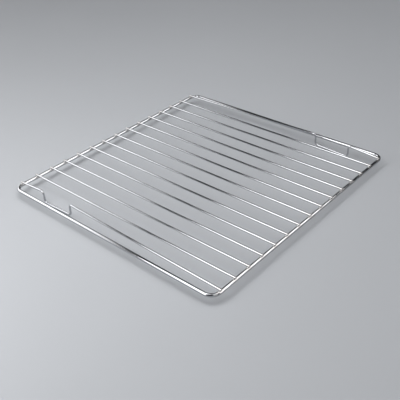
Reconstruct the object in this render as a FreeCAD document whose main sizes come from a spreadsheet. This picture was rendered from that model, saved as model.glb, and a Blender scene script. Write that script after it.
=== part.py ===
import FreeCAD, Part
import os
import Sketcher
from math import pi

# Oven shelf of chromed steel wire.
# One thick wire, bent into a rounded rectangle and closed, makes the frame.
# Thinner cross wires lie on its two end rods, touching along the top, and are welded there.
# The outermost cross wire on each side is bent down near one end into a stop, which hangs
# below the frame and catches on the oven's runner. The two stops face each other across the
# diagonal, so the shelf goes in either way round.
# X runs along the cross wires, Y across them and Z up. The origin is under the middle of the
# shelf, level with the lowest point of the stops. Sizes are in millimetres.

SIZES = {
    "cross_wire_count": 15,
    "wire_pitch": 29.0,
    "cross_wire_diameter": 3.2,
    "cross_wire_length": 416.0,
    "frame_wire_diameter": 5.5,
    "frame_corner_radius": 14.0,
    "runner_gap": 14.4,
    "end_overhang": 1.9,
    "stop_from_end": 57.5,
    "stop_width": 64.0,
    "stop_depth": 16.0,
    "stop_depth_inner": 13.5,
    "shoulder_rise": 4.0,
    "shoulder_rise_inner": 6.5,
    "stop_bend_radius": 6.0,
}

doc = FreeCAD.newDocument("oven_shelf")
sheet = doc.addObject("Spreadsheet::Sheet", "Sizes")
for row, (alias, value) in enumerate(SIZES.items(), start=1):
    sheet.set(f"A{row}", alias.replace("_", " "))
    sheet.set(f"B{row}", str(value))
    sheet.setAlias(f"B{row}", alias)
doc.recompute()

# Places that several pieces share, worked out from the sizes.
AXIS_HEIGHT = "(Sizes.stop_depth + Sizes.cross_wire_diameter / 2)"
ROD_DROP = "((Sizes.cross_wire_diameter + Sizes.frame_wire_diameter) / 2)"
ROD_HEIGHT = f"({AXIS_HEIGHT} - {ROD_DROP})"
GRID_HALF = "(Sizes.wire_pitch * (Sizes.cross_wire_count - 1) / 2)"
RUNNER_REACH = f"({GRID_HALF} + Sizes.runner_gap)"
WIRE_REACH = "(Sizes.cross_wire_length / 2)"
END_ROD_REACH = f"({WIRE_REACH} - Sizes.end_overhang)"

# The start, end and centre of a line or bend, and what outlines are measured from.
START, END, CENTRE = range(1, 4)
ORIGIN, Y_AXIS = range(-1, -3, -1)
UP = FreeCAD.Vector(0, 0, 1)


def size(expression):
    return float(sheet.evalExpression(expression))


def line(x0, y0, x1, y1):
    return Part.LineSegment(FreeCAD.Vector(x0, y0, 0), FreeCAD.Vector(x1, y1, 0))


def bend(x, y, radius, quarter):
    """A quarter circle round a centre, anticlockwise from the given quarter of the turn."""
    start = quarter * pi / 2
    return Part.ArcOfCircle(Part.Circle(FreeCAD.Vector(x, y, 0), UP, radius), start, start + pi / 2)


def new_sketch(body, name, plane_role):
    sketch = body.newObject("Sketcher::SketchObject", name)
    plane = next(item for item in body.Origin.OriginFeatures if item.Role == plane_role)
    sketch.AttachmentSupport = (plane, "")
    sketch.MapMode = "FlatFace"
    return sketch


def tie(sketch, kind, *elements):
    sketch.addConstraint(Sketcher.Constraint(kind, *elements))


def measure(sketch, name, expression, kind, *elements):
    """Gives an outline a named dimension that follows the sizes."""
    index = sketch.addConstraint(Sketcher.Constraint(kind, *elements, size(expression)))
    sketch.renameConstraint(index, name)
    sketch.setExpression(f"Constraints.{name}", expression)


def sweep_wire(body, path, diameter):
    """Sweeps a round section, square to the start of the path, along all of it."""
    doc.recompute()
    section = body.newObject("Sketcher::SketchObject", f"{body.Name}_section")
    section.AttachmentSupport = (path, "Edge1")
    section.MapMode = "NormalToEdge"
    circle = section.addGeometry(Part.Circle(FreeCAD.Vector(), UP, size(diameter) / 2))
    tie(section, "Coincident", circle, CENTRE, ORIGIN, START)
    measure(section, "diameter", diameter, "Diameter", circle)
    doc.recompute()
    wire = body.newObject("PartDesign::AdditivePipe", f"{body.Name}_sweep")
    wire.Profile = section
    wire.Spine = (path, [f"Edge{number + 1}" for number in range(len(path.Shape.Edges))])
    doc.recompute()
    return wire


def frame_loop():
    """The frame: a rounded rectangle, begun and closed in the middle of its back runner rod."""
    body = doc.addObject("PartDesign::Body", "frame_wire")
    path = new_sketch(body, "frame_path", "XY_Plane")
    path.setExpression("AttachmentOffset.Base.z", ROD_HEIGHT)
    radius = size("Sizes.frame_corner_radius")
    x = size(END_ROD_REACH)
    y = size(RUNNER_REACH)
    x_bend = x - radius
    y_bend = y - radius
    back_a, bend_a, left, bend_b, front, bend_c, right, bend_d, back_b = path.addGeometry([
        line(0, y, -x_bend, y),
        bend(-x_bend, y_bend, radius, 1),
        line(-x, y_bend, -x, -y_bend),
        bend(-x_bend, -y_bend, radius, 2),
        line(-x_bend, -y, x_bend, -y),
        bend(x_bend, -y_bend, radius, 3),
        line(x, -y_bend, x, y_bend),
        bend(x_bend, y_bend, radius, 0),
        line(x_bend, y, 0, y),
    ])
    run = (back_a, bend_a, left, bend_b, front, bend_c, right, bend_d, back_b)
    for before, after in zip(run, run[1:]):
        tie(path, "Tangent", before, END, after, START)
    tie(path, "Coincident", back_b, END, back_a, START)
    tie(path, "PointOnObject", back_a, START, Y_AXIS)
    for rod in (back_a, front, back_b):
        tie(path, "Horizontal", rod)
    for rod in (left, right):
        tie(path, "Vertical", rod)
    for corner in (bend_b, bend_c, bend_d):
        tie(path, "Equal", bend_a, corner)
    measure(path, "corner_radius", "Sizes.frame_corner_radius", "Radius", bend_a)
    measure(path, "left_reach", END_ROD_REACH, "DistanceX", left, START, ORIGIN, START)
    measure(path, "right_reach", END_ROD_REACH, "DistanceX", ORIGIN, START, right, START)
    measure(path, "front_reach", RUNNER_REACH, "DistanceY", front, START, ORIGIN, START)
    measure(path, "back_reach", RUNNER_REACH, "DistanceY", ORIGIN, START, back_a, START)
    sweep_wire(body, path, "Sizes.frame_wire_diameter")
    return body


def straight_wire(name):
    """A straight cross wire, cropped square at both ends."""
    body = doc.addObject("PartDesign::Body", name)
    section = new_sketch(body, f"{name}_section", "YZ_Plane")
    circle = section.addGeometry(Part.Circle(FreeCAD.Vector(), UP, size("Sizes.cross_wire_diameter") / 2))
    tie(section, "Coincident", circle, CENTRE, ORIGIN, START)
    measure(section, "diameter", "Sizes.cross_wire_diameter", "Diameter", circle)
    wire = body.newObject("PartDesign::Pad", f"{name}_pad")
    wire.Profile = section
    wire.SideType = "Symmetric"
    wire.setExpression("Length", "Sizes.cross_wire_length")
    return body


def stop_wire(name):
    """A cross wire bent down into a stop near its left end, with its shoulders sprung up."""
    body = doc.addObject("PartDesign::Body", name)
    path = new_sketch(body, f"{name}_path", "XZ_Plane")
    radius = size("Sizes.stop_bend_radius")
    reach = size(WIRE_REACH)
    rod_x, rod_drop = size(END_ROD_REACH), size(ROD_DROP)
    leg_x = size("Sizes.stop_from_end") - reach
    inner_x = leg_x + size("Sizes.stop_width")
    crest, inner_crest = size("Sizes.shoulder_rise"), size("Sizes.shoulder_rise_inner")
    floor, inner_floor = -size("Sizes.stop_depth"), -size("Sizes.stop_depth_inner")
    end_run, shoulder, leg, foot, base, inner_foot, inner_leg, inner_shoulder, long_run = path.addGeometry([
        line(-reach, 0, leg_x - radius, crest),
        bend(leg_x - radius, crest - radius, radius, 0),
        line(leg_x, crest - radius, leg_x, floor + radius),
        bend(leg_x + radius, floor + radius, radius, 2),
        line(leg_x + radius, floor, inner_x - radius, inner_floor),
        bend(inner_x - radius, inner_floor + radius, radius, 3),
        line(inner_x, inner_floor + radius, inner_x, inner_crest - radius),
        bend(inner_x + radius, inner_crest - radius, radius, 1),
        line(inner_x + radius, inner_crest, reach, 0),
    ])
    tie(path, "Tangent", end_run, END, shoulder, END)
    tie(path, "Tangent", shoulder, START, leg, START)
    tie(path, "Tangent", leg, END, foot, START)
    tie(path, "Tangent", foot, END, base, START)
    tie(path, "Tangent", base, END, inner_foot, START)
    tie(path, "Tangent", inner_foot, END, inner_leg, START)
    tie(path, "Tangent", inner_leg, END, inner_shoulder, END)
    tie(path, "Tangent", inner_shoulder, START, long_run, START)
    tie(path, "Vertical", leg)
    tie(path, "Vertical", inner_leg)
    for corner in (foot, inner_foot, inner_shoulder):
        tie(path, "Equal", shoulder, corner)
    measure(path, "bend_radius", "Sizes.stop_bend_radius", "Radius", shoulder)
    measure(path, "near_reach", WIRE_REACH, "DistanceX", end_run, START, ORIGIN, START)
    measure(path, "far_reach", WIRE_REACH, "DistanceX", ORIGIN, START, long_run, END)
    measure(path, "from_end", "Sizes.stop_from_end", "DistanceX", end_run, START, leg, START)
    measure(path, "width", "Sizes.stop_width", "DistanceX", leg, START, inner_leg, START)
    measure(path, "foot_depth", "Sizes.stop_depth - Sizes.stop_bend_radius",
            "DistanceY", foot, CENTRE, ORIGIN, START)
    measure(path, "inner_foot_depth", "Sizes.stop_depth_inner - Sizes.stop_bend_radius",
            "DistanceY", inner_foot, CENTRE, ORIGIN, START)
    measure(path, "leg_height", "Sizes.stop_depth + Sizes.shoulder_rise - 2 * Sizes.stop_bend_radius",
            "DistanceY", foot, CENTRE, shoulder, CENTRE)
    measure(path, "inner_leg_height",
            "Sizes.stop_depth_inner + Sizes.shoulder_rise_inner - 2 * Sizes.stop_bend_radius",
            "DistanceY", inner_foot, CENTRE, inner_shoulder, CENTRE)
    # Both end runs lie on the frame's rods: each is tangent to a circle round the rod's axis.
    for side, sign, run in (("near", -1, end_run), ("far", 1, long_run)):
        seat = path.addGeometry(Part.Circle(FreeCAD.Vector(sign * rod_x, -rod_drop, 0), UP, rod_drop), True)
        tie(path, "Tangent", run, seat)
        across = (seat, CENTRE, ORIGIN, START) if sign < 0 else (ORIGIN, START, seat, CENTRE)
        measure(path, f"{side}_rod_reach", END_ROD_REACH, "DistanceX", *across)
        measure(path, f"{side}_rod_drop", ROD_DROP, "DistanceY", seat, CENTRE, ORIGIN, START)
        measure(path, f"{side}_contact", ROD_DROP, "Radius", seat)
    sweep_wire(body, path, "Sizes.cross_wire_diameter")
    return body


def lay_on_frame(body, place):
    """Sets a wire in its place across the shelf, at the height where it lies on the end rods."""
    body.setExpression("Placement.Base.y", place)
    body.setExpression("Placement.Base.z", AXIS_HEIGHT)
    return body


sub_parts = [frame_loop()]
for number in range(2, int(size("Sizes.cross_wire_count"))):
    place = f"Sizes.wire_pitch * {number - 1} - {GRID_HALF}"
    sub_parts.append(lay_on_frame(straight_wire(f"cross_wire_{number:02d}"), place))
sub_parts.append(lay_on_frame(stop_wire("stop_wire_front"), f"-{GRID_HALF}"))
back_stop = lay_on_frame(stop_wire("stop_wire_back"), GRID_HALF)
back_stop.Placement.Rotation = FreeCAD.Rotation(UP, 180)
sub_parts.append(back_stop)
doc.recompute()

for item in doc.Objects:
    if "Invalid" in item.State or "Error" in item.State:
        raise RuntimeError(f"{item.Label} did not recompute: {item.State}")
for item in sub_parts:
    if item.Shape.isNull() or not item.Shape.isValid() or len(item.Shape.Solids) != 1:
        raise RuntimeError(f"{item.Label} is not one sound solid")

os.makedirs("parts", exist_ok=True)
for item in sub_parts:
    item.Shape.exportStep(f"parts/{item.Label}.step")
    box = item.Shape.optimalBoundingBox(False, False)
    print(f"{item.Label}: {box.XLength:.2f} x {box.YLength:.2f} x {box.ZLength:.2f}, "
          f"from z {box.ZMin:.2f}, volume {item.Shape.Volume:.1f}")
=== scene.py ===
# %% [markdown]
# # An oven shelf of chromed wire
# The real shelf is a closed frame of thick round wire, thirteen straight cross wires and two
# outer ones bent down into stops, all spot-welded where they cross and then plated bright.
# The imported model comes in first. It fixes every place and size, in metres, so each wire below
# is drawn again, finer, exactly where the model has it.

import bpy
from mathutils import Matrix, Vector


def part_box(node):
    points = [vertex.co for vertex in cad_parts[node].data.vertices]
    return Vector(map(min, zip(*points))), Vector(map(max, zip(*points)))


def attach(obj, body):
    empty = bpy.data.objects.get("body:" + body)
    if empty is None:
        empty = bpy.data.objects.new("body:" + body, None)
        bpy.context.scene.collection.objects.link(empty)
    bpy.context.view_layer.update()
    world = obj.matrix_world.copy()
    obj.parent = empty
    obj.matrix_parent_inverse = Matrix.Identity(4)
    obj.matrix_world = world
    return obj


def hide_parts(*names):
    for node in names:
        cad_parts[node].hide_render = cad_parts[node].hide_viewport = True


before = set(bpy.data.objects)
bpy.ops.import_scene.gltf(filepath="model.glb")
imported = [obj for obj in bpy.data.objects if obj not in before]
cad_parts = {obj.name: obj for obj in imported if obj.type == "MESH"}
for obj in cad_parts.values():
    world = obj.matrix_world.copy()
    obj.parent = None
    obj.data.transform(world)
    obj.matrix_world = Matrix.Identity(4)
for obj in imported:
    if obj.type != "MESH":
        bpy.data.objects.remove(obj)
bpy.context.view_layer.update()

# %% [markdown]
# ## Sizes of the wire
# Two thicknesses of wire come off the reel, and a bending jig gives the radii and the stop.
# Those few numbers are written here. Everything else, such as where a rod runs or how long a
# wire is, can be read from the model's own boxes, so that nothing is written twice.

# %% Name the sizes and read the places
import math
from mathutils import Matrix, Vector

MM = 0.001
WIRE_RADIUS = 1.6 * MM
ROD_RADIUS = 2.75 * MM
CORNER_RADIUS = 14 * MM
STOP_BEND_RADIUS = 6 * MM
STOP_FROM_END = 57.5 * MM
STOP_WIDTH = 64 * MM
STOP_DEPTH = 16 * MM
STOP_DEPTH_INNER = 13.5 * MM
SHOULDER_RISE = 4 * MM
SHOULDER_RISE_INNER = 6.5 * MM

frame_low, frame_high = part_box("frame_wire")
wire_low, wire_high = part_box("cross_wire_02")
ROD_X = frame_high.x - ROD_RADIUS
RUNNER_Y = frame_high.y - ROD_RADIUS
ROD_Z = (frame_low.z + frame_high.z) / 2
WIRE_Z = (wire_low.z + wire_high.z) / 2
WIRE_REACH = wire_high.x
AXES_APART = WIRE_RADIUS + ROD_RADIUS
straight_names = sorted(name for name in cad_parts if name.startswith("cross_wire_"))
print(f"{len(straight_names)} straight wires, axis {WIRE_Z / MM:.2f} mm up, rods {ROD_Z / MM:.2f} mm up")
print(f"wire on rod: axes {(WIRE_Z - ROD_Z) / MM:.3f} mm apart,",
      f"radii add up to {AXES_APART / MM:.3f} mm")

# %% [markdown]
# ## Bending a wire round pins
# A wire bender pulls straight wire round pins set in a plate. The same idea works in code: a
# list of pins, each with a centre, a radius and a side, and the wire runs straight from one to
# the next and round it. A curve object with rounded corners would do too, but pins give true
# arcs that join the straight runs without a kink, which matters on metal as shiny as this.

# %% Lead a wire round pins
LEFT, RIGHT = 1, -1
RUN_STEP = 6 * MM
BEND_STEP = math.radians(5)


def tangent_run(pin, next_pin):
    """The two ends of the straight run between neighbouring pins, in the plane of the bends."""
    centre, radius, turn = pin
    next_centre, next_radius, next_turn = next_pin
    gap = next_centre - centre
    lean = math.asin((next_turn * next_radius - turn * radius) / gap.length)
    heading = math.atan2(gap.y, gap.x) - lean
    left = Vector((-math.sin(heading), math.cos(heading)))
    return centre - turn * radius * left, next_centre - next_turn * next_radius * left


def straight_points(start, end):
    steps = max(2, round((end - start).length / RUN_STEP))
    return [start.lerp(end, step / steps) for step in range(steps)]


def bend_points(pin, arrive, leave):
    """Points round a pin, from where the wire meets it to where it leaves."""
    centre, _, turn = pin
    spoke = arrive - centre
    swing = (-turn * spoke.angle_signed(leave - centre)) % (2 * math.pi)
    steps = max(2, round(swing / BEND_STEP))
    return [centre + Matrix.Rotation(turn * swing * step / steps, 2) @ spoke for step in range(steps)]


print(f"a point every {RUN_STEP / MM:.0f} mm of a run",
      f"and every {math.degrees(BEND_STEP):.0f} degrees of a bend")

# %% [markdown]
# ## The path of the frame
# The frame is one length of thick wire, bent at four corners and welded end to end. Its path
# could be typed in as four lines and four arcs. With pins it is four centres, one in each
# corner, and everything between them follows.

# %% Bend the path of the frame


def closed_loop(pins):
    points = []
    for before, pin, after in zip(pins[-1:] + pins, pins, pins[1:] + pins[:1]):
        _, arrive = tangent_run(before, pin)
        leave, next_arrive = tangent_run(pin, after)
        points += bend_points(pin, arrive, leave) + straight_points(leave, next_arrive)
    return points


frame_pins = [(Vector((x, y)), CORNER_RADIUS, LEFT) for x, y in (
    (ROD_X - CORNER_RADIUS, RUNNER_Y - CORNER_RADIUS),
    (CORNER_RADIUS - ROD_X, RUNNER_Y - CORNER_RADIUS),
    (CORNER_RADIUS - ROD_X, CORNER_RADIUS - RUNNER_Y),
    (ROD_X - CORNER_RADIUS, CORNER_RADIUS - RUNNER_Y),
)]
frame_path = closed_loop(frame_pins)
print(len(frame_path), "points along the frame")

# %% [markdown]
# ## The paths of the cross wires
# A cross wire lies on the two end rods, so the rods are its first and last pins, and it is
# cropped just past their axes. A straight wire has no other pins. A stop wire has four more, two
# that bend it down and two that bring it up again. The slanting floor of the stop and the
# shoulders that rise beside it come out of where those pins stand.

# %% Bend the paths of the cross wires


def cut_at(run, x):
    start, end = run
    return start.lerp(end, (x - start.x) / (end.x - start.x))


def cut_length(pins, first_x, last_x):
    """A wire that lies on its first and last pins and is cropped at two places along X."""
    runs = [tangent_run(pin, after) for pin, after in zip(pins, pins[1:])]
    first, last = cut_at(runs[0], first_x), cut_at(runs[-1], last_x)
    runs[0] = (first, runs[0][1])
    runs[-1] = (runs[-1][0], last)
    points = straight_points(*runs[0])
    for pin, (_, arrive), (leave, next_arrive) in zip(pins[1:], runs, runs[1:]):
        points += bend_points(pin, arrive, leave) + straight_points(leave, next_arrive)
    return points + [last]


def stop_pin(x, z, turn):
    return Vector((x, z)), STOP_BEND_RADIUS, turn


leg_x = STOP_FROM_END - WIRE_REACH
inner_x = leg_x + STOP_WIDTH
near_rod = (Vector((-ROD_X, -AXES_APART)), AXES_APART, RIGHT)
far_rod = (Vector((ROD_X, -AXES_APART)), AXES_APART, RIGHT)
stop_pins = [
    near_rod,
    stop_pin(leg_x - STOP_BEND_RADIUS, SHOULDER_RISE - STOP_BEND_RADIUS, RIGHT),
    stop_pin(leg_x + STOP_BEND_RADIUS, STOP_BEND_RADIUS - STOP_DEPTH, LEFT),
    stop_pin(inner_x - STOP_BEND_RADIUS, STOP_BEND_RADIUS - STOP_DEPTH_INNER, LEFT),
    stop_pin(inner_x + STOP_BEND_RADIUS, SHOULDER_RISE_INNER - STOP_BEND_RADIUS, RIGHT),
    far_rod,
]
stop_path = cut_length(stop_pins, -WIRE_REACH, WIRE_REACH)
straight_path = cut_length([near_rod, far_rod], -WIRE_REACH, WIRE_REACH)
print(len(stop_path), "points along a stop wire,", len(straight_path), "along a straight wire")

# %% [markdown]
# ## Where the welds are
# Every cross wire is pressed on the two end rods and welded there. The list of crossings is
# needed twice: the weld metal is built at each one, and the plating is duller around it. A stop
# wire comes down to its rods at a slope, so each crossing keeps the slope of its wire.

# %% List the crossings
import bpy


def slope(pin, next_pin):
    start, end = tangent_run(pin, next_pin)
    return math.atan2(end.y - start.y, end.x - start.x)


stop_slopes = slope(*stop_pins[:2]), slope(*stop_pins[-2:])
crossings = []
for name in straight_names + ["stop_wire_front", "stop_wire_back"]:
    low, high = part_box(name)
    wire_y = (low.y + high.y) / 2
    slopes = (0, 0) if name in straight_names else stop_slopes
    if name == "stop_wire_back":
        slopes = tuple(-angle for angle in reversed(slopes))
    crossings += [(Vector((side * ROD_X, wire_y, ROD_Z)), angle) for side, angle in zip((-1, 1), slopes)]
weld_spots = [rod + Matrix.Rotation(-angle, 3, "Y") @ Vector((0, 0, ROD_RADIUS))
              for rod, angle in crossings]
print(f"{len(crossings)} welds; a stop wire meets its rods at",
      [f"{math.degrees(angle):.2f} degrees" for angle in stop_slopes])

# %% [markdown]
# ## A mesh that knows its wire
# The finishes need two facts about every point of the surface: how far along and around the
# wire it lies, in millimetres, and how near it is to a weld. A texture placed by coordinates in
# space would not follow a bend, so both facts are stored on the points of each mesh, as
# attributes that a material can read.

# %% Store facts on the points
from mathutils.kdtree import KDTree

HEAT_REACH = 7 * MM

weld_tree = KDTree(len(weld_spots))
for index, spot in enumerate(weld_spots):
    weld_tree.insert(spot, index)
weld_tree.balance()


def new_piece(name, points, faces, places):
    """A mesh that rides on the shelf and keeps its wire coordinates and the nearness of welds."""
    mesh = bpy.data.meshes.new(name)
    mesh.from_pydata(points, [], faces)
    mesh.shade_smooth()
    distances = [weld_tree.find(point)[2] for point in points]
    warmth = [math.exp(-(distance / HEAT_REACH) ** 2) for distance in distances]
    mesh.attributes.new("weld_heat", "FLOAT", "POINT").data.foreach_set("value", warmth)
    flat_places = [value for place in places for value in place]
    mesh.attributes.new("wire_place", "FLOAT_VECTOR", "POINT").data.foreach_set("vector", flat_places)
    piece = bpy.data.objects.new(name, mesh)
    bpy.context.scene.collection.objects.link(piece)
    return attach(piece, "root")


print(f"{len(weld_spots)} welds, whose heat fades over {HEAT_REACH / MM:.0f} mm")

# %% [markdown]
# ## Drawing a round wire along a path
# A bevelled curve object is the quick way to a tube, but it gives no hold on the cut ends and no
# place to store those facts. So the skin is laid ring by ring as a mesh. The cut ends are
# rounded a little, as a shear leaves them.

# %% Skin a path with rings
RING_POINTS = 32
END_ROUNDING = 0.3 * MM
END_RINGS = 4


def rounded_end(tip, inner, radius):
    """Ring centres and radii from a cropped tip inwards, over its rounded edge."""
    inward = (inner - tip).normalized()
    turns = [math.pi / 2 * ring / END_RINGS for ring in range(END_RINGS + 1)]
    return [(tip + END_ROUNDING * (1 - math.cos(turn)) * inward,
             radius - END_ROUNDING * (1 - math.sin(turn))) for turn in turns]


def draw_wire(name, spine, side, radius, closed=False):
    """A round wire along points that lie in the plane square to side."""
    rings = [(point, radius) for point in spine]
    if not closed:
        head = rounded_end(spine[0], spine[1], radius)
        tail = rounded_end(spine[-1], spine[-2], radius)
        rings = head + rings[1:-1] + tail[::-1]
    centres = [centre for centre, _ in rings]
    ahead = centres[1:] + (centres[:1] if closed else centres[-1:])
    behind = (centres[-1:] if closed else centres[:1]) + centres[:-1]
    points, places, faces = [], [], []
    travelled = 0.0
    for (centre, size), after, before in zip(rings, ahead, behind):
        out = side.cross(after - before).normalized()
        for step in range(RING_POINTS):
            turn = 2 * math.pi * step / RING_POINTS
            points.append(centre + size * (math.cos(turn) * out + math.sin(turn) * side))
            places.append((travelled / MM, size * math.cos(turn) / MM, size * math.sin(turn) / MM))
        travelled += (after - centre).length
    for ring in range(len(rings) if closed else len(rings) - 1):
        here, there = ring * RING_POINTS, (ring + 1) % len(rings) * RING_POINTS
        for step in range(RING_POINTS):
            beside = (step + 1) % RING_POINTS
            faces.append((here + step, here + beside, there + beside, there + step))
    if not closed:
        faces.append(tuple(reversed(range(RING_POINTS))))
        faces.append(tuple(range(len(points) - RING_POINTS, len(points))))
    return new_piece(name, points, faces, places)


print(f"rings of {RING_POINTS} points, cut ends rounded by {END_ROUNDING / MM:.1f} mm")

# %% [markdown]
# ## The frame loop
# The frame lies flat, with its two ends welded to each other. A torus stretched at the corners
# could stand for it, but its section would be squeezed. Drawn along its own path, it keeps one
# thickness all round and has no cut ends.

# %% Draw the frame
UP = Vector((0, 0, 1))
frame_spine = [Vector((point.x, point.y, ROD_Z)) for point in frame_path]
frame_wire = draw_wire("frame_loop", frame_spine, UP, ROD_RADIUS, closed=True)
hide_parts("frame_wire")
print("frame loop:", len(frame_wire.data.polygons), "faces")

# %% [markdown]
# ## Straight cross wires
# Wire that comes off a reel is straightened between rollers and never ends up quite straight. A
# tenth of a millimetre of waviness can't be seen as a shape, but it breaks the long reflections
# a little, as on the real thing. It fades out towards the rods, where the welds hold the wire.

# %% Lay the straight wires
WAVE_HEIGHT = 0.12 * MM
WAVE_LENGTHS = (0.231, 0.117)
WAVE_SHIFTS = (2.4, 4.1)


def wave(x, seed):
    """Side and height of the waviness at a place along a wire."""
    hold = max(0, 1 - (x / ROD_X) ** 2)
    side, height = (math.sin(2 * math.pi * x / length + seed * shift)
                    for length, shift in zip(WAVE_LENGTHS, WAVE_SHIFTS))
    return WAVE_HEIGHT * hold * side, WAVE_HEIGHT * hold * height


ACROSS = Vector((0, 1, 0))
cross_wires = []
for seed, name in enumerate(straight_names):
    low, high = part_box(name)
    spine = []
    for point in straight_path:
        side, height = wave(point.x, seed)
        spine.append(Vector((point.x, (low.y + high.y) / 2 + side, WIRE_Z + point.y + height)))
    wire = draw_wire(name.replace("cross_wire", "grid_wire"), spine, ACROSS, WIRE_RADIUS)
    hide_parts(name)
    cross_wires.append(wire)
print(len(cross_wires), "straight wires of", len(cross_wires[0].data.polygons), "faces")

# %% [markdown]
# ## The two stop wires
# The outermost wire on each side is bent down into a stop, which keeps the shelf from tipping
# when it is pulled out. Both come off the same jig: the back one is the front one turned half
# round, so its path is the same with X and the place across the shelf reversed.

# %% Lay the stop wires
for name, facing in (("stop_wire_front", 1), ("stop_wire_back", -1)):
    low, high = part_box(name)
    spine = [Vector((facing * point.x, (low.y + high.y) / 2, WIRE_Z + point.y)) for point in stop_path]
    wire = draw_wire(name.replace("stop_wire", "stop_bent_wire"), spine, ACROSS, WIRE_RADIUS)
    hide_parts(name)
    cross_wires.append(wire)
    lowest = min(vertex.co.z for vertex in wire.data.vertices)
    print(wire.name, "lowest point", round(lowest / MM, 3), "mm")

# %% [markdown]
# ## Weld collars
# Where wire meets rod the weld leaves a small hollow collar of metal, smoothed over by the
# plating. Its shape is what a ball leaves when it is rolled round the crossing while touching
# both wires. The ball's centre keeps one distance from the wire's axis and another from the
# rod's, which gives its track by two square roots. A slightly uneven ball makes no two alike.

# %% Roll a ball round a crossing
COLLAR_BALL = 1.3 * MM
COLLAR_BALL_OUTSIDE = 0.18 * MM
COLLAR_UNEVEN = 0.12
COLLAR_LOBES = ((2, 1.7), (3, 2.9))
COLLAR_ARC = 6


def collar_ball(turn, side, seed):
    """The ball's radius round a crossing: small on the outer side, where the wire soon ends."""
    outside = max(0, side * math.cos(turn)) ** 0.5
    swell = sum(math.sin(lobes * turn + shift * seed) for lobes, shift in COLLAR_LOBES)
    ball = COLLAR_BALL + (COLLAR_BALL_OUTSIDE - COLLAR_BALL) * outside
    return ball * (1 + COLLAR_UNEVEN * swell / len(COLLAR_LOBES))


def collar_arc(turn, ball):
    """Points from the wire to the rod over a collar, with the rod's axis on Y and the wire above it."""
    wire_way, rod_way = WIRE_RADIUS + ball, ROD_RADIUS + ball
    y = 2 * math.sqrt(WIRE_RADIUS * ball) * math.sin(turn)
    z = AXES_APART - math.sqrt(wire_way ** 2 - y ** 2)
    x = math.copysign(math.sqrt(max(0, rod_way ** 2 - z ** 2)), math.cos(turn))
    centre = Vector((x, y, z))
    to_wire = Vector((0, -y, AXES_APART - z)) / wire_way
    to_rod = Vector((-x, 0, -z)) / rod_way
    return [centre + ball * to_wire.slerp(to_rod, step / COLLAR_ARC) for step in range(COLLAR_ARC + 1)]


on_wire, *_, on_rod = collar_arc(0, COLLAR_BALL)
print(f"along the wire a collar spans {(on_wire - on_rod).length / MM:.2f} mm from wire to rod")

# %% Close the collars
COLLAR_STEPS = 48


def roll_collars(name, welds):
    """One mesh of collars, each closed by two fans of faces hidden in the wire and in the rod."""
    points, faces, rims = [], [], set()
    for seed, (rod, angle) in welds:
        lean = Matrix.Rotation(-angle, 3, "Y")
        in_rod, in_wire, first = len(points), len(points) + 1, len(points) + 2
        points += [rod, rod + lean @ Vector((0, 0, AXES_APART))]
        for step in range(COLLAR_STEPS):
            turn = 2 * math.pi * step / COLLAR_STEPS
            ball = collar_ball(turn, math.copysign(1, rod.x), seed)
            points += [rod + lean @ point for point in collar_arc(turn, ball)]
        row = COLLAR_ARC + 1
        for step in range(COLLAR_STEPS):
            here, there = first + step * row, first + (step + 1) % COLLAR_STEPS * row
            faces += [(here + k, here + k + 1, there + k + 1, there + k) for k in range(COLLAR_ARC)]
            faces += [(here, there, in_wire), (there + COLLAR_ARC, here + COLLAR_ARC, in_rod)]
            rims |= {here, here + COLLAR_ARC}
    piece = new_piece(name, points, faces, [tuple(point / MM) for point in points])
    for edge in piece.data.edges:
        edge.use_edge_sharp = rims.issuperset(edge.vertices)
    return piece


collars = []
for name, side in (("weld_collars_left", -1), ("weld_collars_right", 1)):
    welds = [(seed, weld) for seed, weld in enumerate(crossings) if weld[0].x * side > 0]
    collar = roll_collars(name, welds)
    collars.append(collar)
    print(name, len(welds), "collars,", len(collar.data.polygons), "faces")

# %% [markdown]
# ## Effects that the finishes share
# Bright plating is a mirror, so its character is in small faults: fine lines left from drawing
# the wire through a die, faint clouds in the shine, and a duller, slightly brown ring round each
# weld. Each effect is a node group with named sockets, so that the thick and the thin wire can
# both use it with their own values.

# %% Build the drawn lines
LINE_DETAIL = 3


def new_group(name, inputs, outputs):
    """An empty shader node group with named value sockets, and its two ends."""
    group = bpy.data.node_groups.new(name, "ShaderNodeTree")
    for label, value in inputs.items():
        socket = group.interface.new_socket(label, in_out="INPUT", socket_type="NodeSocketFloat")
        socket.default_value = value
    for label in outputs:
        group.interface.new_socket(label, in_out="OUTPUT", socket_type="NodeSocketFloat")
    return group, group.nodes.new("NodeGroupInput").outputs, group.nodes.new("NodeGroupOutput").inputs


def wire_noise(tree, along, across, detail):
    """Noise stretched along the wire: along and across are its scales for each millimetre."""
    place = tree.nodes.new("ShaderNodeAttribute")
    place.attribute_name = "wire_place"
    scale = tree.nodes.new("ShaderNodeCombineXYZ")
    for socket, value in zip(scale.inputs, (along, across, across)):
        tree.links.new(value, socket)
    stretched = tree.nodes.new("ShaderNodeVectorMath")
    stretched.operation = "MULTIPLY"
    tree.links.new(place.outputs["Vector"], stretched.inputs[0])
    tree.links.new(scale.outputs["Vector"], stretched.inputs[1])
    noise = tree.nodes.new("ShaderNodeTexNoise")
    noise.inputs["Scale"].default_value = 1
    noise.inputs["Detail"].default_value = detail
    tree.links.new(stretched.outputs["Vector"], noise.inputs["Vector"])
    return noise.outputs["Fac"]


drawn_lines, given, out = new_group("drawn_lines", {"Along": 0.05, "Across": 6.0}, ["Height"])
lines = wire_noise(drawn_lines, given["Along"], given["Across"], LINE_DETAIL)
drawn_lines.links.new(lines, out["Height"])
print(drawn_lines.name, "has", len(drawn_lines.nodes), "nodes")

# %% Build the clouds in the plating
CLOUD_DETAIL = 4


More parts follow.
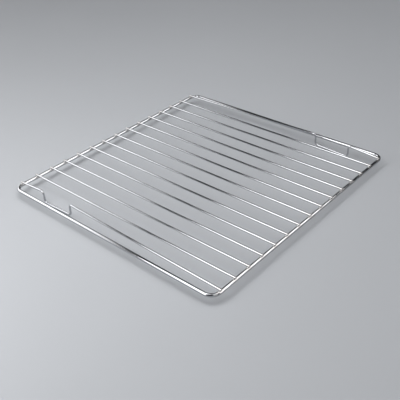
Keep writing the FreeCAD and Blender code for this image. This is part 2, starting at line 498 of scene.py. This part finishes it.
def math_node(tree, operation, first, second):
    """A Math node on two values, each a number or another node's output."""
    node = tree.nodes.new("ShaderNodeMath")
    node.operation = operation
    for socket, value in zip(node.inputs, (first, second)):
        if isinstance(value, (int, float)):
            socket.default_value = value
        else:
            tree.links.new(value, socket)
    return node.outputs["Value"]


cloud_inputs = {"Along": 0.08, "Across": 0.5, "Clear": 0.05, "Cloudy": 0.16}
plating_clouds, given, out = new_group("plating_clouds", cloud_inputs, ["Roughness", "Cloud"])
cloud = wire_noise(plating_clouds, given["Along"], given["Across"], CLOUD_DETAIL)
spread = math_node(plating_clouds, "SUBTRACT", given["Cloudy"], given["Clear"])
shade = math_node(plating_clouds, "MULTIPLY", cloud, spread)
plating_clouds.links.new(math_node(plating_clouds, "ADD", shade, given["Clear"]), out["Roughness"])
plating_clouds.links.new(cloud, out["Cloud"])
print(plating_clouds.name, "has", len(plating_clouds.nodes), "nodes")

# %% Build the ring round a weld
RING_DETAIL = 2
RING_LIFT = 0.5

weld_ring, given, out = new_group("weld_ring", {"Amount": 0.6, "Along": 0.5, "Across": 1.0}, ["Mask"])
heat = weld_ring.nodes.new("ShaderNodeAttribute")
heat.attribute_name = "weld_heat"
ragged = wire_noise(weld_ring, given["Along"], given["Across"], RING_DETAIL)
lifted = math_node(weld_ring, "ADD", ragged, RING_LIFT)
uneven = math_node(weld_ring, "MULTIPLY", heat.outputs["Fac"], lifted)
weld_ring.links.new(math_node(weld_ring, "MULTIPLY", uneven, given["Amount"]), out["Mask"])
print(weld_ring.name, "has", len(weld_ring.nodes), "nodes")

# %% [markdown]
# ## The chrome
# Both wires carry the same plating: full metal, with a colour between silver and steel. Metal in
# Blender turns white towards its edges, where it is seen at a slant. Chromium stays grey almost
# up to the edge, so the tint there is lowered. What differs between the wires is the scale of the
# faults. The thick frame wire shows longer clouds, the thin wires finer draw lines, and the
# collars are pitted and duller, since no polishing reaches them.

# %% Place effects and blend colours
# A Mix node has sockets for every kind of value, and these numbers are those of its colours.
FIRST_COLOUR, SECOND_COLOUR, MIXED_COLOUR = 6, 7, 2


def group_node(tree, group, **values):
    """A shared effect placed in a material with its own values; gives the effect's outputs."""
    node = tree.nodes.new("ShaderNodeGroup")
    node.node_tree = group
    for label, value in values.items():
        node.inputs[label.capitalize()].default_value = value
    return node.outputs


def blend_colours(tree, mask, first, second):
    """A mix of two colours, each a plain colour or another node's output."""
    mix = tree.nodes.new("ShaderNodeMix")
    mix.data_type = "RGBA"
    tree.links.new(mask, mix.inputs["Factor"])
    for number, colour in ((FIRST_COLOUR, first), (SECOND_COLOUR, second)):
        if isinstance(colour, tuple):
            mix.inputs[number].default_value = (*colour, 1)
        else:
            tree.links.new(colour, mix.inputs[number])
    return mix.outputs[MIXED_COLOUR]


print("effects to place:", [group.name for group in bpy.data.node_groups])

# %% Mix the chrome
BRIGHT, CLOUDY, HEATED = (0.57, 0.58, 0.60), (0.50, 0.51, 0.53), (0.38, 0.34, 0.30)
EDGE_TINT = (0.74, 0.745, 0.75)


def chrome(name, clouds, lines, ring, line_depth, weld_dulling):
    """Plated metal with the three shared effects, each at the scale that is given."""
    material = bpy.data.materials.new(name)
    material.use_nodes = True
    tree = material.node_tree
    metal = tree.nodes["Principled BSDF"]
    metal.inputs["Metallic"].default_value = 1
    metal.inputs["Specular Tint"].default_value = (*EDGE_TINT, 1)
    plating = group_node(tree, plating_clouds, **clouds)
    mask = group_node(tree, weld_ring, **ring)["Mask"]
    plain = blend_colours(tree, plating["Cloud"], BRIGHT, CLOUDY)
    tree.links.new(blend_colours(tree, mask, plain, HEATED), metal.inputs["Base Color"])
    dull = math_node(tree, "MULTIPLY", mask, weld_dulling)
    tree.links.new(math_node(tree, "ADD", plating["Roughness"], dull), metal.inputs["Roughness"])
    bump = tree.nodes.new("ShaderNodeBump")
    bump.inputs["Strength"].default_value = 1
    bump.inputs["Distance"].default_value = line_depth
    tree.links.new(group_node(tree, drawn_lines, **lines)["Height"], bump.inputs["Height"])
    tree.links.new(bump.outputs["Normal"], metal.inputs["Normal"])
    return material


frame_chrome = chrome("frame_chrome",
                      clouds=dict(along=0.03, across=0.3, clear=0.05, cloudy=0.15),
                      lines=dict(along=0.04, across=4.0),
                      ring=dict(amount=0.5), line_depth=0.004 * MM, weld_dulling=0.2)
frame_wire.data.materials.append(frame_chrome)
print(frame_chrome.name, "has", len(frame_chrome.node_tree.nodes), "nodes")

# %% Plate the thin wires and the collars
wire_chrome = chrome("wire_chrome",
                     clouds=dict(along=0.06, across=0.5, clear=0.06, cloudy=0.17),
                     lines=dict(along=0.05, across=7.0),
                     ring=dict(amount=0.5), line_depth=0.003 * MM, weld_dulling=0.2)
weld_chrome = chrome("weld_chrome",
                     clouds=dict(along=0.6, across=0.6, clear=0.1, cloudy=0.26),
                     lines=dict(along=2.5, across=2.5),
                     ring=dict(amount=0.25), line_depth=0.04 * MM, weld_dulling=0.1)
for wire in cross_wires:
    wire.data.materials.append(wire_chrome)
for collar in collars:
    collar.data.materials.append(weld_chrome)
print("plated", len(cross_wires), "wires and", len(collars), "rows of collars")

# %% [markdown]
# ## The floor
# The shelf lies on its two stops on a plain pale floor. A faint cloud in the colour and a soft
# sheen keep it from looking like paper, and it goes on far enough to meet the horizon.

# %% Lay the floor
FLOOR_HALF = 60.0
FLOOR_LIGHT, FLOOR_DARK = (0.49, 0.505, 0.53), (0.465, 0.48, 0.505)
FLOOR_CLOUD_SCALE, FLOOR_ROUGHNESS, FLOOR_SHEEN = 3, 0.6, 0.25

floor_mesh = bpy.data.meshes.new("floor")
floor_corners = [(x * FLOOR_HALF, y * FLOOR_HALF, 0) for x, y in ((-1, -1), (1, -1), (1, 1), (-1, 1))]
floor_mesh.from_pydata(floor_corners, [], [(0, 1, 2, 3)])
floor = bpy.data.objects.new("floor", floor_mesh)
bpy.context.scene.collection.objects.link(floor)

paint = bpy.data.materials.new("pale_floor")
paint.use_nodes = True
floor_tree = paint.node_tree
floor_place = floor_tree.nodes.new("ShaderNodeTexCoord")
floor_cloud = floor_tree.nodes.new("ShaderNodeTexNoise")
floor_cloud.inputs["Scale"].default_value = FLOOR_CLOUD_SCALE
floor_tree.links.new(floor_place.outputs["Object"], floor_cloud.inputs["Vector"])
surface = floor_tree.nodes["Principled BSDF"]
surface.inputs["Roughness"].default_value = FLOOR_ROUGHNESS
surface.inputs["Specular IOR Level"].default_value = FLOOR_SHEEN
floor_colour = blend_colours(floor_tree, floor_cloud.outputs["Fac"], FLOOR_LIGHT, FLOOR_DARK)
floor_tree.links.new(floor_colour, surface.inputs["Base Color"])
floor_mesh.materials.append(paint)
print("floor", 2 * FLOOR_HALF, "m square")

# %% [markdown]
# ## Light for a mirror
# A mirror shows the room, so the room is what is designed here. Each wire is a thin mirror that
# is curved one way only. It throws a narrow fan of rays, and what stands in that fan becomes a
# line as long as the wire. A soft box near the front draws the white lines on the right part of
# the wires. The box on the right and the lamp overhead are out of sight of the straight wires:
# they give the bends and welds their glints. A white ceiling would make the floor even and its
# shadows soft, but it would also show in every wire, so its light is kept out of reflections.

# %% Hang the soft boxes
FRONT_PLACE, FRONT_TOWARD = Vector((-0.185, -0.388, 0.8)), Vector((0, 0.715, -0.699))
FRONT_WIDTH, FRONT_HEIGHT, FRONT_RADIANCE = 0.49, 1.40, 3.0
RIGHT_PLACE, RIGHT_TOWARD = Vector((2.2, -0.9, 1.3)), Vector((-0.8, 0.25, -0.5))
RIGHT_WIDTH, RIGHT_HEIGHT, RIGHT_RADIANCE = 1.6, 1.4, 1.0


def soft_box(name, place, toward, width, height, radiance):
    """An even flat lamp, unseen by the camera. Each square metre sends out pi times its radiance."""
    lamp = bpy.data.lights.new(name, "AREA")
    lamp.shape = "RECTANGLE"
    lamp.size, lamp.size_y = width, height
    lamp.energy = radiance * math.pi * width * height
    box = bpy.data.objects.new(name, lamp)
    box.location = place
    box.rotation_euler = toward.to_track_quat("-Z", "Y").to_euler()
    box.visible_camera = False
    bpy.context.scene.collection.objects.link(box)


soft_box("front_soft_box", FRONT_PLACE, FRONT_TOWARD, FRONT_WIDTH, FRONT_HEIGHT, FRONT_RADIANCE)
soft_box("right_soft_box", RIGHT_PLACE, RIGHT_TOWARD, RIGHT_WIDTH, RIGHT_HEIGHT, RIGHT_RADIANCE)
print("soft boxes:", [lamp.name for lamp in bpy.data.lights])

# %% Light the floor from above
FROM_ABOVE = Vector((-0.2, -0.2, -0.96))


def light_from_above(name, spread, energy, in_mirrors):
    """Light from far overhead, as wide as its spread in degrees, shown by metal or kept from it."""
    lamp = bpy.data.lights.new(name, "SUN")
    lamp.angle = math.radians(spread)
    lamp.energy = energy
    aloft = bpy.data.objects.new(name, lamp)
    aloft.rotation_euler = FROM_ABOVE.to_track_quat("-Z", "Y").to_euler()
    aloft.visible_glossy = in_mirrors
    bpy.context.scene.collection.objects.link(aloft)


light_from_above("overhead_lamp", spread=28, energy=0.45, in_mirrors=True)
light_from_above("white_ceiling", spread=80, energy=1.2, in_mirrors=False)
print("all lamps:", [lamp.name for lamp in bpy.data.lights])

# %% [markdown]
# ## A lit sheet on the left
# The left half of each wire looks at a large white sheet. It is shaded as if a lamp stood at its
# foot, bright there and darker further out, so the lines fade along the wires until they are
# dark. Each ring of the sheet round the X axis is seen at one place on a wire, so the shade goes
# by the distance from that axis. The rings are flattened a little into ovals, which keeps the
# light longer on the wires at the back. A sheet this bright would also flood the floor, so it
# shows in reflections only.

# %% Stretch the sheet
SHEET_X, SHEET_RADIANCE = -1.85, 2.4
SHEET_OUTLINE = ((-2.4, 0.3), (0.6, 0.3), (0.6, 1.2), (0.7, 1.4), (0.7, 2.75), (-2.4, 2.75))


def stretch_sheet(name, corners, radiance):
    """A flat sheet seen in reflections only, which shines on both sides; its nodes and its glow."""
    mesh = bpy.data.meshes.new(name)
    mesh.from_pydata(corners, [], [tuple(range(len(corners)))])
    sheet = bpy.data.objects.new(name, mesh)
    sheet.visible_camera = False
    sheet.visible_diffuse = False
    bpy.context.scene.collection.objects.link(sheet)
    glow = bpy.data.materials.new(name + "_glow")
    glow.use_nodes = True
    nodes, links = glow.node_tree.nodes, glow.node_tree.links
    nodes.remove(nodes["Principled BSDF"])
    shine = nodes.new("ShaderNodeEmission")
    shine.inputs["Strength"].default_value = radiance
    links.new(shine.outputs["Emission"], nodes["Material Output"].inputs["Surface"])
    mesh.materials.append(glow)
    return glow.node_tree, shine


sheet_corners = [(SHEET_X, y, z) for y, z in SHEET_OUTLINE]
sheet_tree, sheet_shine = stretch_sheet("left_sheet", sheet_corners, SHEET_RADIANCE)
print("left sheet at x =", SHEET_X, "m with", len(sheet_corners), "corners")

# %% Shade the sheet
OVAL_WIDTH, OVAL_HEIGHT = 3.3, 2.8
OVAL_FADE = ((0.66, 1.0), (0.72, 0.85), (0.79, 0.5), (0.84, 0.2), (0.88, 0.0))


def shade_by(tree, value, shades):
    """A ramp from the value, 0 to 1, to colours at the given stops."""
    ramp = tree.nodes.new("ShaderNodeValToRGB")
    tree.links.new(value, ramp.inputs["Fac"])
    while len(ramp.color_ramp.elements) < len(shades):
        ramp.color_ramp.elements.new(1)
    for element, (at, colour) in zip(ramp.color_ramp.elements, shades):
        element.position = at
        element.color = (*colour, 1)
    return ramp.outputs["Color"]


sheet_place = sheet_tree.nodes.new("ShaderNodeTexCoord")
oval = sheet_tree.nodes.new("ShaderNodeVectorMath")
oval.operation = "MULTIPLY"
oval.inputs[1].default_value = (0, 1 / OVAL_WIDTH, 1 / OVAL_HEIGHT)
sheet_tree.links.new(sheet_place.outputs["Object"], oval.inputs[0])
reach = sheet_tree.nodes.new("ShaderNodeVectorMath")
reach.operation = "LENGTH"
sheet_tree.links.new(oval.outputs["Vector"], reach.inputs[0])
sheet_shades = [(share, (light, light, light)) for share, light in OVAL_FADE]
sheet_colour = shade_by(sheet_tree, reach.outputs["Value"], sheet_shades)
sheet_tree.links.new(sheet_colour, sheet_shine.inputs["Color"])
dark_share, _ = OVAL_FADE[-1]
print("left sheet dark above", round(dark_share * OVAL_HEIGHT, 2), "m")

# %% [markdown]
# ## A card behind and an apron in front
# The end rods run the other way and look back to the right. A card there gives each its light
# line. Every place on a rod sees one ring round that rod, wide at the front and narrow at the
# back, so the card's outline decides where a line begins and ends. Its hollow inner edge leaves
# the back of the right rod dark. Far out on the right it reaches lower, and high up it reaches
# further left, in places that only the left rod sees. The apron carries the front soft box down
# to the floor and makes the white lines broader, without burning a spot on the floor as a lamp
# that low would.

# %% Set up the card and the apron
CARD_Y, CARD_RADIANCE = 3.0, 2.7
CARD_OUTLINE = ((-0.2, 2.8), (0.8, 2.75), (1.5, 2.45), (1.9, 2.15), (2.3, 1.75), (2.3, 1.65),
                (4.6, 1.65), (4.6, 0.35), (7.5, 0.35), (7.5, 7.0), (-1.5, 7.0), (-1.5, 4.8), (-0.2, 4.8))
APRON_LENGTH = 0.335

stretch_sheet("back_card", [(x, CARD_Y, z) for x, z in CARD_OUTLINE], CARD_RADIANCE)
along = Vector((FRONT_WIDTH / 2, 0, 0))
down = FRONT_TOWARD.cross(along).normalized()
apron_top = FRONT_PLACE + FRONT_HEIGHT / 2 * down
apron_foot = apron_top + APRON_LENGTH * down
apron = (apron_top - along, apron_top + along, apron_foot + along, apron_foot - along)
stretch_sheet("front_apron", apron, FRONT_RADIANCE)
print("apron from", round(apron_top.z, 3), "m down to", round(apron_foot.z, 3), "m above the floor")

# %% [markdown]
# ## The air of the studio
# Above and behind, the studio is dim, and that gives the wires their dark stretches and edges.
# A band of pale haze at the horizon joins the far floor to it.

# %% Dim the air
AIR_SHADES = ((0.0, (0.235, 0.242, 0.254)), (0.05, (0.215, 0.222, 0.233)),
              (0.16, (0.05, 0.052, 0.056)), (1.0, (0.02, 0.021, 0.023)))

world = bpy.data.worlds.new("dim_studio")
world.use_nodes = True
bpy.context.scene.world = world
air_tree = world.node_tree
direction = air_tree.nodes.new("ShaderNodeTexCoord")
above = air_tree.nodes.new("ShaderNodeSeparateXYZ")
air_tree.links.new(direction.outputs["Generated"], above.inputs["Vector"])
air_colour = shade_by(air_tree, above.outputs["Z"], AIR_SHADES)
air_tree.links.new(air_colour, air_tree.nodes["Background"].inputs["Color"])
print("air:", len(AIR_SHADES), "shades from the horizon up")

# %% [markdown]
# ## The camera
# The photograph looks down on one corner of the shelf. Its angle, distance and lens were worked
# out from the lines of the wires, and the small roll makes the frame lean as it does there.

# %% Set the camera
AZIMUTH = math.radians(42.55)
ELEVATION = math.radians(33.80)
ROLL = math.radians(-2.83)
DISTANCE = 0.959
AIM = Vector((0.0546, -0.0673, 0.0176))
LENS_MM, SENSOR_MM = 57.24, 36.0

level = math.cos(ELEVATION)
back = Vector((math.sin(AZIMUTH) * level, -math.cos(AZIMUTH) * level, math.sin(ELEVATION)))
right = UP.cross(back).normalized()
rise = back.cross(right)
tilted_right = math.cos(ROLL) * right + math.sin(ROLL) * rise
tilted_up = math.cos(ROLL) * rise - math.sin(ROLL) * right
lens = bpy.data.cameras.new("camera")
lens.lens, lens.sensor_width = LENS_MM, SENSOR_MM
camera = bpy.data.objects.new("camera", lens)
turned = Matrix((tilted_right, tilted_up, back)).transposed().to_4x4()
camera.matrix_world = Matrix.Translation(AIM + DISTANCE * back) @ turned
bpy.context.scene.collection.objects.link(camera)
bpy.context.scene.camera = camera
bpy.context.scene.view_settings.view_transform = "Standard"
print("camera at", [round(value, 4) for value in camera.matrix_world.translation])
